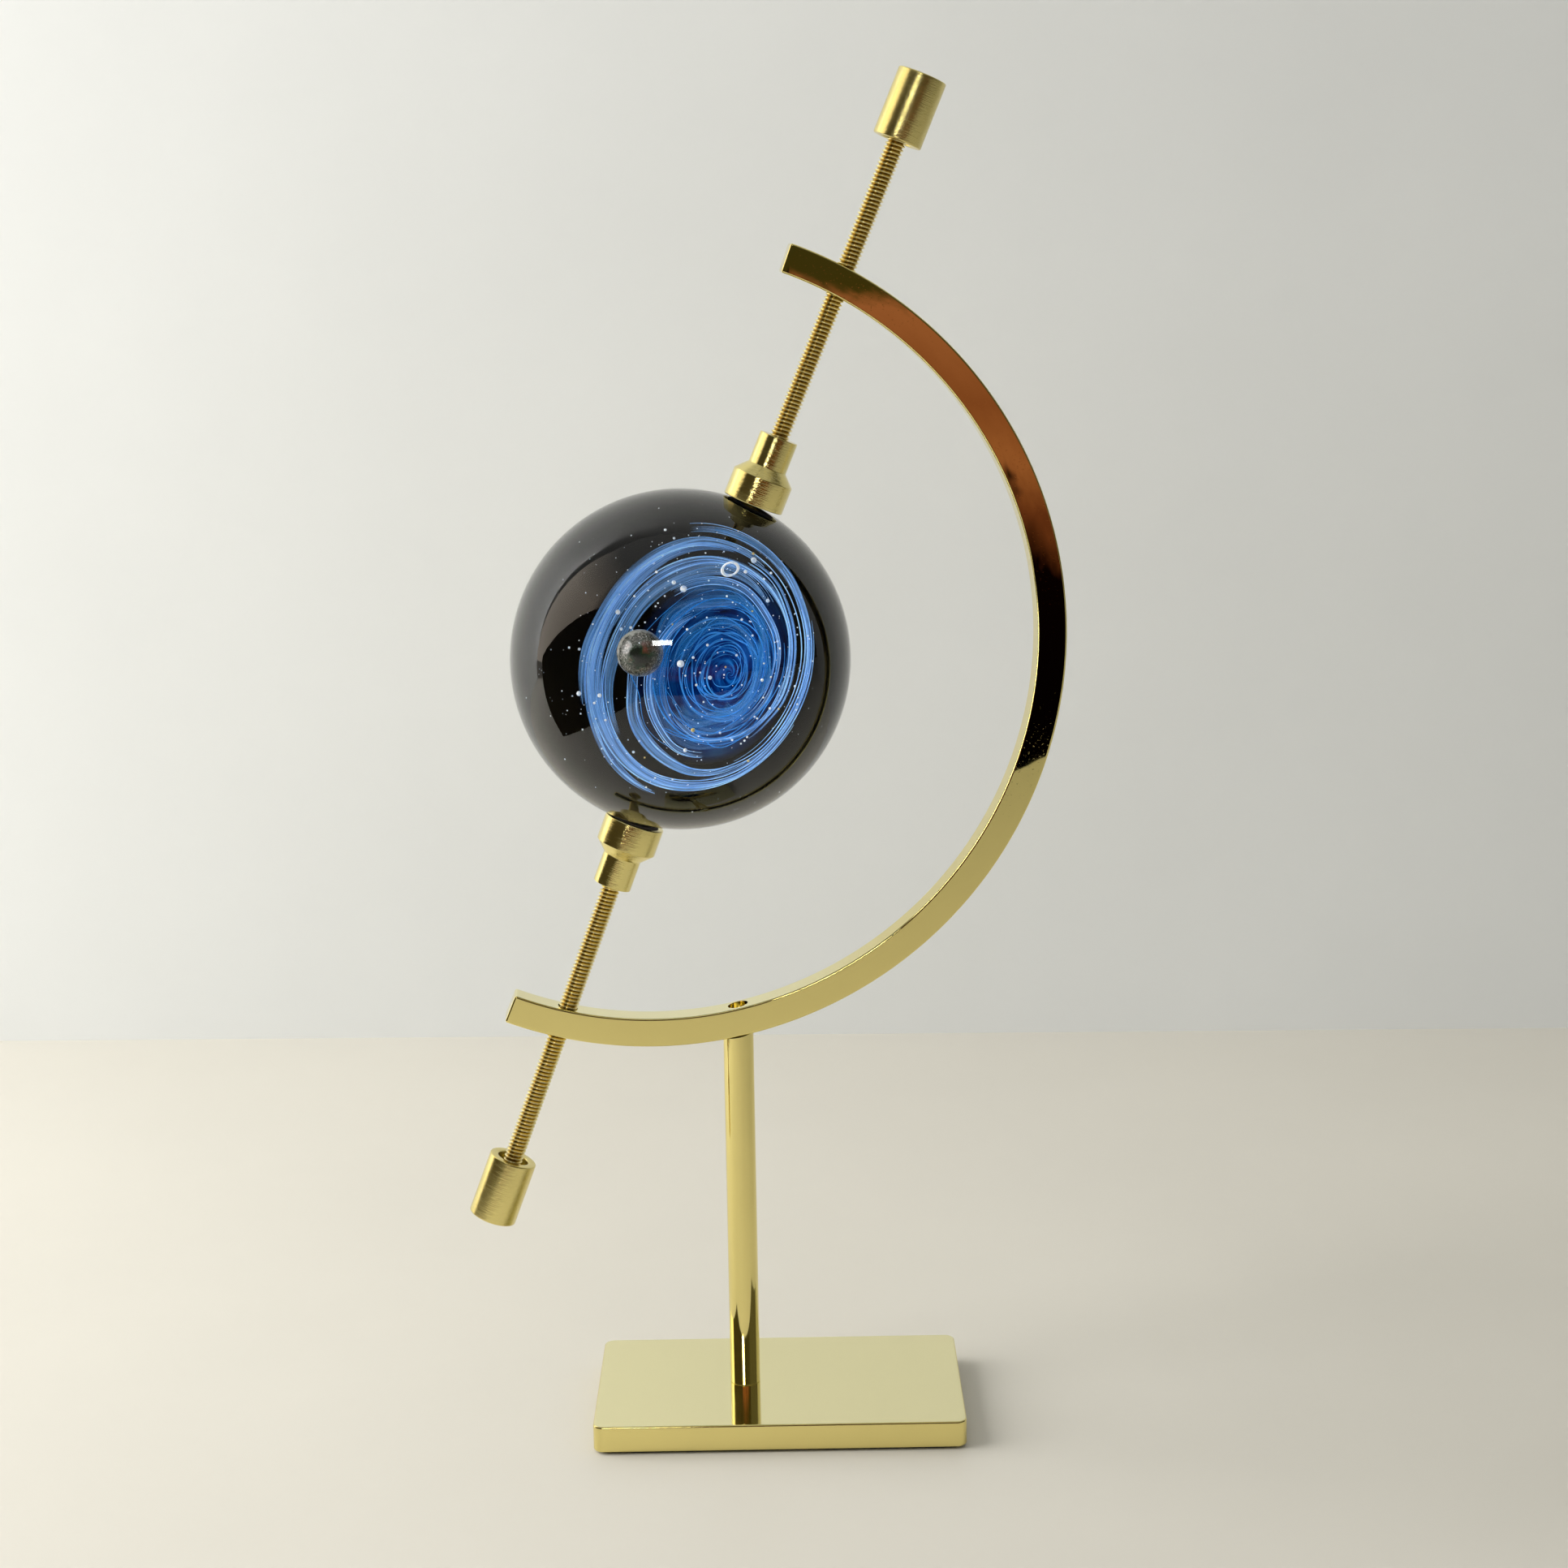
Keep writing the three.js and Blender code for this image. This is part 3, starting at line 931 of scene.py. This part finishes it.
def random_whorl(rng, reach, sweep):
    """Stations of a loose whorl: it starts anywhere and winds slowly inwards."""
    start = rng.uniform(0, 360)
    turn = rng.uniform(*sweep)
    radius = rng.uniform(*reach)
    end = radius * rng.uniform(0.62, 0.95)
    wobble = rng.uniform(0.02, 0.06)
    count = 7
    stations = []
    for i in range(count):
        t = i / (count - 1)
        share = radius + (end - radius) * t + rng.uniform(-wobble, wobble)
        stations.append((start - turn * t, share, 1.0))
    return stations


def ribbon_courses(rng):
    """Stations of the broad ribbons: they start a golden turn apart and wind slowly inwards."""
    courses = []
    last = RIBBON["stations"] - 1
    for band in RIBBON_BANDS:
        for _ in range(band["count"]):
            start = RIBBON["golden_turn"] * len(courses)
            sweep = rng.uniform(*band["sweep"])
            widest = rng.uniform(*band["width"])
            stations = []
            for i in range(RIBBON["stations"]):
                t = i / last
                share = band["share"] - band["inwards"] * t + rng.uniform(-1, 1) * RIBBON["waver"]
                swell = RIBBON["end_width"] + (1 - RIBBON["end_width"]) * math.sin(math.pi * t)
                stations.append((start - sweep * t, share, widest * swell))
            courses.append(stations)
    return courses


def course_point(stations, t, lift, outward=0.0, up=0.0):
    """Point of a course at t along it, in the funnel's frame, moved outward and up."""
    angle, share, _ = smooth_between(stations, t)
    radius = share * FUNNEL["mouth"] + outward
    height = funnel_drop(radius) + lift + up
    a = math.radians(angle)
    return mm(radius * math.cos(a), radius * math.sin(a), height)


def course_steps(stations):
    swept = sum(abs(b[0] - a[0]) for a, b in zip(stations, stations[1:]))
    return int(20 + swept / 3)


def strands(name, courses, thickness, material, rng):
    """Thin threads along courses of (stations, lift, outward), joined into one piece."""
    vertices, faces = [], []
    for stations, lift, outward in courses:
        thick = rng.uniform(*thickness)
        steps = course_steps(stations)
        shares = [i / steps for i in range(steps + 1)]
        points = [course_point(stations, t, lift, outward) for t in shares]
        swell = [math.sin(math.pi * min(0.97, 0.03 + t)) ** 0.6 for t in shares]
        radii = [mm(max(0.01, thick * share)) for share in swell]
        rings = tube(points, radii)
        faces.extend(skin(rings, first=len(vertices)))
        for ring in rings:
            vertices.extend(ring)
    made = new_object(name, mesh_from(name, vertices, faces), material, 180)
    made.matrix_world = funnel_matrix()
    return on_marble(made, "glass_swirl")


def veils(name, courses, material, rng):
    """Broad thin veils along courses of (stations, lift), with a UV map: along, then across."""
    vertices, faces, uvs = [], [], []
    across = 8
    for stations, lift in courses:
        rise = rng.uniform(0.0, 0.7)
        steps = course_steps(stations)
        base = len(vertices)
        for i in range(steps + 1):
            t = i / steps
            wide = max(0.1, smooth_between(stations, t)[2])
            for j in range(across + 1):
                v = j / across
                vertices.append(course_point(stations, t, lift, wide * (v - 0.5), rise * wide * (v - 0.5)))
                uvs.append((t, v))
        for i in range(steps):
            for j in range(across):
                a = base + i * (across + 1) + j
                faces.append((a, a + 1, a + across + 2, a + across + 1))
    mesh = bpy.data.meshes.new(name)
    mesh.from_pydata([tuple(v) for v in vertices], [], faces)
    layer = mesh.uv_layers.new(name="UVMap")
    for loop in mesh.loops:
        layer.data[loop.index].uv = uvs[loop.vertex_index]
    made = new_object(name, mesh, material, 180)
    made.matrix_world = funnel_matrix()
    return on_marble(made, "glass_swirl")


def beside_ribbons(broad, rng, each):
    """Courses of threads that run beside the broad ribbons, a little off their middles."""
    courses = []
    for stations in broad:
        for _ in range(each):
            widest = max(station[2] for station in stations)
            outward = rng.uniform(-0.55, 0.55) * widest
            courses.append((stations, rng.uniform(0.3, 1.2), outward))
    return courses


def loose_courses(rng, count, reach, sweep, lifts):
    return [(random_whorl(rng, reach, sweep), rng.uniform(*lifts), 0.0) for _ in range(count)]


def inside_marble(point, margin=1.0):
    return point.length < mm(MARBLE_RADIUS - margin)


def specks(name, material, rng, count, sizes, spread, heights, centred=False):
    """Tiny balls scattered through the glass, joined into one piece. Small ones are more common."""
    bm = bmesh.new()
    made_count = 0
    place = Matrix.Translation(-marble_centre) @ funnel_matrix()
    if centred:
        place = Matrix.Rotation(math.pi / 2, 4, "X")
    while made_count < count:
        radius = spread * math.sqrt(rng.random())
        angle = rng.uniform(0, 2 * math.pi)
        height = rng.uniform(*heights) + (0 if centred else funnel_drop(radius))
        point = place @ mm(radius * math.cos(angle), radius * math.sin(angle), height)
        size = sizes[0] + (sizes[1] - sizes[0]) * rng.random() ** 3
        if not inside_marble(point):
            continue
        bmesh.ops.create_icosphere(
            bm, subdivisions=2, radius=mm(size), matrix=Matrix.Translation(point)
        )
        made_count += 1
    mesh = bpy.data.meshes.new(name)
    bm.to_mesh(mesh)
    bm.free()
    made = new_object(name, mesh, material, 180)
    made.matrix_world = Matrix.Translation(marble_centre)
    return on_marble(made, "glass_swirl")


def ring_bubble(material):
    """A larger trapped bubble that shows as a bright ring, high on the right."""
    bubble = RING_BUBBLE
    steps, sides = 48, 10
    points = []
    for i in range(steps):
        a = 2 * math.pi * i / steps
        x, y = bubble["across"] * math.cos(a), bubble["across"] * math.sin(a) * bubble["squash"]
        points.append(mm(x, y, 0))
    rings = []
    for i, point in enumerate(points):
        ahead = (points[(i + 1) % steps] - points[i - 1]).normalized()
        side = ahead.cross(Vector((0, 0, 1)))
        swell = mm(bubble["thick"] * (0.6 + 0.5 * math.cos(2 * math.pi * i / steps) ** 2))
        rings.append(
            [
                point + side * swell * math.cos(a) + Vector((0, 0, 1)) * swell * math.sin(a)
                for a in (2 * math.pi * k / sides for k in range(sides))
            ]
        )
    made = new_object("ring_bubble", rings_mesh("ring_bubble", rings, closed_along=True), material, 180)
    turn = Matrix.Rotation(math.pi / 2, 4, "X") @ Matrix.Rotation(math.radians(bubble["turn"]), 4, "Z")
    made.matrix_world = Matrix.Translation(marble_centre + mm(*bubble["place"])) @ turn
    on_marble(made, "glass_swirl")


def marble():
    """The glass ball and everything fused into it."""
    rng = random.Random(SEED)
    glass = ball("marble_glass", MARBLE_RADIUS, Matrix.Translation(marble_centre), clear_glass(), 160)
    on_marble(glass, "glass_clear", "marble_lens")
    marble_backing(dark_glass())
    nebula_funnel(nebula())
    pale = strand_glass("pale_strand", (0.30, 0.56, 0.92), (0.06, 0.24, 0.62), 0.35)
    deep = strand_glass("deep_strand", (0.045, 0.27, 0.70), (0.006, 0.09, 0.32), 0.32)
    broad = ribbon_courses(rng)
    strands("galaxy_outer_threads", beside_ribbons(broad, rng, 3), (0.03, 0.09), pale, rng)
    middle = loose_courses(rng, 12, (0.45, 0.72), (120, 300), (0.2, 1.2))
    strands("galaxy_middle_threads", middle, (0.03, 0.10), deep, rng)
    core = loose_courses(rng, 20, (0.10, 0.45), (150, 420), (0.1, 1.0))
    strands("galaxy_core_threads", core, (0.03, 0.10), deep, rng)
    ribbons = [(stations, rng.uniform(0.3, 1.0)) for stations in broad]
    veils("galaxy_ribbons", ribbons, veil_glass("pale_veil", (0.16, 0.40, 0.82), 0.72, 0.45), rng)
    loose = []
    for stations, lift, _ in loose_courses(rng, 9, (0.30, 0.66), (110, 260), (0.1, 0.9)):
        wide = rng.uniform(1.0, 2.6)
        loose.append(([(angle, share, wide) for angle, share, _ in stations], lift))
    veils("galaxy_veils", loose, veil_glass("deep_veil", (0.02, 0.22, 0.60), 0.60, 0.36), rng)
    white = bubble_painted_glint()
    gold = gold_speck()
    for name, scatter in SPECKS.items():
        specks(name, gold if name == "gold_flecks" else white, rng, **scatter)
    ring_bubble(white)
    opal_low, opal_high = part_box("opal")
    opal_place = Matrix.Translation((opal_low + opal_high) / 2)
    opal_radius = (opal_high.x - opal_low.x) / 2
    opal = ball("opal_ball", opal_radius * 1000, opal_place, opal_stone(opal_radius), 64)
    on_marble(opal, "opal", "opal")


# ---------------- stage

CAMERA = {"place": (2.4, -431.9, 199.1), "down": 11.92, "roll": -0.95, "lens": 62.7}
WALL = {"y": 213.0, "turn": -1.6, "reach": 750.0, "top": 1300.0}
FRONT_CARD = {"y": -520.0, "low": 0.0, "high": 600.0, "left": -420.0, "right": 420.0}
SLIT = {"y": -515.0, "x": (-170.0, -42.0), "z": (300.0, 334.0), "glow": 24.0}
SILHOUETTE = {"x": -210.0, "near": -520.0, "near_top": 757.0, "far": 23.0, "far_top": 132.0}
WINDOW = {"place": (-0.66, 0.04, 0.42), "width": 0.80, "height": 0.75, "power": 11.5}


def camera():
    """Camera at the height and lens of a phone held close in front."""
    data = bpy.data.cameras.new("camera")
    data.lens = CAMERA["lens"]
    data.sensor_width = 36.0
    data.clip_start = 0.01
    made = bpy.data.objects.new("camera", data)
    bpy.context.scene.collection.objects.link(made)
    tilt = Matrix.Rotation(math.radians(90 - CAMERA["down"]), 4, "X")
    roll = Matrix.Rotation(math.radians(CAMERA["roll"]), 4, "Z")
    made.matrix_world = Matrix.Translation(mm(*CAMERA["place"])) @ tilt @ roll
    bpy.context.scene.camera = made


def stage_plane(name, corners, material):
    mesh = bpy.data.meshes.new(name)
    mesh.from_pydata(corners, [], [(0, 1, 2, 3)])
    made = bpy.data.objects.new(name, mesh)
    bpy.context.scene.collection.objects.link(made)
    mesh.materials.append(material)
    return made


def paper(name, colour, rough=0.7, one_sided=False):
    """Painted card with a faint mottle. A one-sided card is clear from behind."""
    material, n = new_material(name)
    mottle = n.noise(n.place(), 14.0, detail=6.0)
    low = tuple(c * 0.97 for c in colour)
    tone = n.ramp(mottle, [(0.3, low), (0.7, colour)])
    output = n.finish(Base_Color=tone, Roughness=rough, Specular_IOR_Level=0.25)
    if one_sided:
        solid = output.inputs["Surface"].links[0].from_socket
        clear = n.node("ShaderNodeBsdfTransparent").outputs[0]
        behind = n.node("ShaderNodeNewGeometry").outputs["Backfacing"]
        both = n.node("ShaderNodeMixShader", {0: behind, 1: solid, 2: clear})
        n.tree.links.new(both.outputs[0], output.inputs["Surface"])
    return material


def reflections_only(card):
    card.visible_camera = False
    card.visible_diffuse = False
    card.visible_shadow = False
    card.visible_transmission = False


def upright_card(name, x, y, z, material):
    corners = [mm(x[0], y, z[0]), mm(x[1], y, z[0]), mm(x[1], y, z[1]), mm(x[0], y, z[1])]
    card = stage_plane(name, corners, material)
    reflections_only(card)


def front_card():
    """Card that only reflections see, in front of the globe: black low down, red-brown, then olive."""
    material, n = new_material("front_card")
    height = n.node("ShaderNodeSeparateXYZ", {"Vector": n.place()}).outputs[2]
    mottle = n.noise(n.place(), 40.0, detail=5.0, roughness=0.65)
    shifted = n.math("ADD", height, n.math("MULTIPLY", n.math("SUBTRACT", mottle, 0.5), 0.035))
    share = n.math("DIVIDE", shifted, mm(FRONT_CARD["high"]))
    colour = n.ramp(
        share,
        [
            (0.000, (0.0006, 0.0003, 0.0003)),
            (0.118, (0.0020, 0.0004, 0.0003)),
            (0.150, (0.140, 0.040, 0.020)),
            (0.185, (0.330, 0.120, 0.065)),
            (0.215, (0.240, 0.078, 0.040)),
            (0.274, (0.340, 0.125, 0.075)),
            (0.290, (0.050, 0.040, 0.010)),
            (0.330, (0.046, 0.040, 0.012)),
            (1.000, (0.090, 0.080, 0.055)),
        ],
    )
    blotches = n.ramp(n.noise(n.place(), 30.0, detail=3.0), [(0.36, (0.12, 0.12, 0.12)), (0.43, (1, 1, 1))])
    shown = n.mix(1.0, colour, blotches, blend="MULTIPLY")
    n.finish_emission(shown, 1.0)
    c = FRONT_CARD
    upright_card("front_card", (c["left"], c["right"]), c["y"], (c["low"], c["high"]), material)


def bright_slit():
    """Small far window behind the camera, seen as a short bright bar in the marble and the brass."""
    material, n = new_material("bright_slit")
    n.finish_emission((1.0, 0.99, 0.95, 1.0), SLIT["glow"])
    upright_card("bright_slit", SLIT["x"], SLIT["y"], SLIT["z"], material)


def silhouette():
    """Dark card in front on the left that cuts into the window's reflection in the marble."""
    material, n = new_material("silhouette")
    n.finish(Base_Color=(0.11, 0.09, 0.05, 1.0), Roughness=1.0, Specular_IOR_Level=0.0)
    c = SILHOUETTE
    corners = [
        mm(c["x"], c["far"], 0),
        mm(c["x"], c["near"], 0),
        mm(c["x"], c["near"], c["near_top"]),
        mm(c["x"], c["far"], c["far_top"]),
    ]
    reflections_only(stage_plane("silhouette", corners, material))


def room():
    """Even pale room for the camera and soft light; reflections see a big window on the left."""
    world = bpy.data.worlds.new("room")
    bpy.context.scene.world = world
    world.use_nodes = True
    n = Nodes(world.node_tree)
    parts = n.node("ShaderNodeSeparateXYZ", {"Vector": n.place("Generated")})
    x, y, z = parts.outputs
    azimuth = n.math("ARCTAN2", x, n.math("MULTIPLY", y, -1.0))
    share = n.math("ADD", n.math("DIVIDE", azimuth, 2 * math.pi), 0.5)
    bright, dark, side = (0.85, 0.83, 0.78), (0.030, 0.026, 0.014), (0.10, 0.095, 0.075)
    sides = n.ramp(
        share,
        [
            (0.00, bright),
            (0.06, (2.00, 1.80, 1.52)),
            (0.20, (2.10, 1.85, 1.55)),
            (0.30, (1.60, 1.36, 1.10)),
            (0.325, dark),
            (0.56, dark),
            (0.62, side),
            (0.86, side),
            (0.93, bright),
            (1.00, bright),
        ],
    )
    overhead = n.ramp(z, [(0.58, (0, 0, 0)), (0.88, (1, 1, 1))])
    reflected = n.mix(overhead, sides, (0.50, 0.50, 0.47, 1.0))
    path = n.node("ShaderNodeLightPath")
    diffuse_or_glossy = n.mix(path.outputs["Is Glossy Ray"], (0.28, 0.28, 0.27, 1.0), reflected)
    colour = n.mix(path.outputs["Is Camera Ray"], diffuse_or_glossy, (0.80, 0.80, 0.78, 1.0))
    background = n.node("ShaderNodeBackground", {"Color": colour, "Strength": 1.0})
    output = n.node("ShaderNodeOutputWorld")
    n.tree.links.new(background.outputs[0], output.inputs["Surface"])


def area_light(name, place, target, width, height, power, colour):
    data = bpy.data.lights.new(name, "AREA")
    data.shape = "RECTANGLE"
    data.size, data.size_y = width, height
    data.energy = power
    data.color = colour
    made = bpy.data.objects.new(name, data)
    bpy.context.scene.collection.objects.link(made)
    made.location = place
    made.rotation_euler = (Vector(target) - Vector(place)).to_track_quat("-Z", "Y").to_euler()
    made.visible_glossy = False


def stage():
    floor = paper("table_paper", (0.65, 0.625, 0.555), rough=0.45)
    reach = 3.0
    corners = [(-reach, -reach, 0), (reach, -reach, 0), (reach, reach, 0), (-reach, reach, 0)]
    stage_plane("table", corners, floor)
    wall = paper("wall_paper", (0.81, 0.825, 0.815), rough=0.8, one_sided=True)
    across, top = mm(WALL["reach"]), mm(WALL["top"])
    corners = [(-across, 0, 0), (across, 0, 0), (across, 0, top), (-across, 0, top)]
    made = stage_plane("wall", corners, wall)
    made.location = mm(0, WALL["y"], 0)
    made.rotation_euler.z = math.radians(WALL["turn"])
    front_card()
    bright_slit()
    silhouette()
    room()
    target = (0, 0, 0.11)
    w = WINDOW
    area_light("window", w["place"], target, w["width"], w["height"], w["power"], (1.0, 0.985, 0.965))
    area_light("ceiling", (0.1, -0.25, 1.5), target, 1.4, 1.4, 3.8, (1.0, 0.99, 0.97))
    bpy.context.scene.view_settings.view_transform = "Standard"


# ---------------- the whole


def set_cad_materials():
    """Node materials for the CAD pieces that keep their CAD shape."""
    worn = turned_brass("turned_brass_hidden")
    shown = {"base_felt": felt(), "base_screw": worn, "post_stud": threaded_brass_painted_shade()}
    rubber = seat_rubber()
    for side in ("upper", "lower"):
        shown[f"{side}_seat_ring"] = rubber
        shown[f"{side}_cup_retainer"] = worn
    for name, material in shown.items():
        data = frame["nodes"][name].data
        data.materials.clear()
        data.materials.append(material)


camera()
base_plate(polished_brass("polished_brass_plate", (0.03, 0.13)))
half_circle_bar(polished_brass("polished_brass_bar", (0.004, 0.030)))
post(polished_brass("polished_brass_post", (0.04, 0.12)))
thread_metal = threaded_brass_painted_shade()
cup_metal = turned_brass("turned_brass_cup", dull=0.15, rough=(0.08, 0.18))
knob_metal = turned_brass("turned_brass_knob", dull=0.45, rough=(0.16, 0.32))
for side_name in ("upper", "lower"):
    threaded_rod(side_name, thread_metal)
    cup(side_name, cup_metal)
    knob(side_name, knob_metal)
marble()
set_cad_materials()
stage()
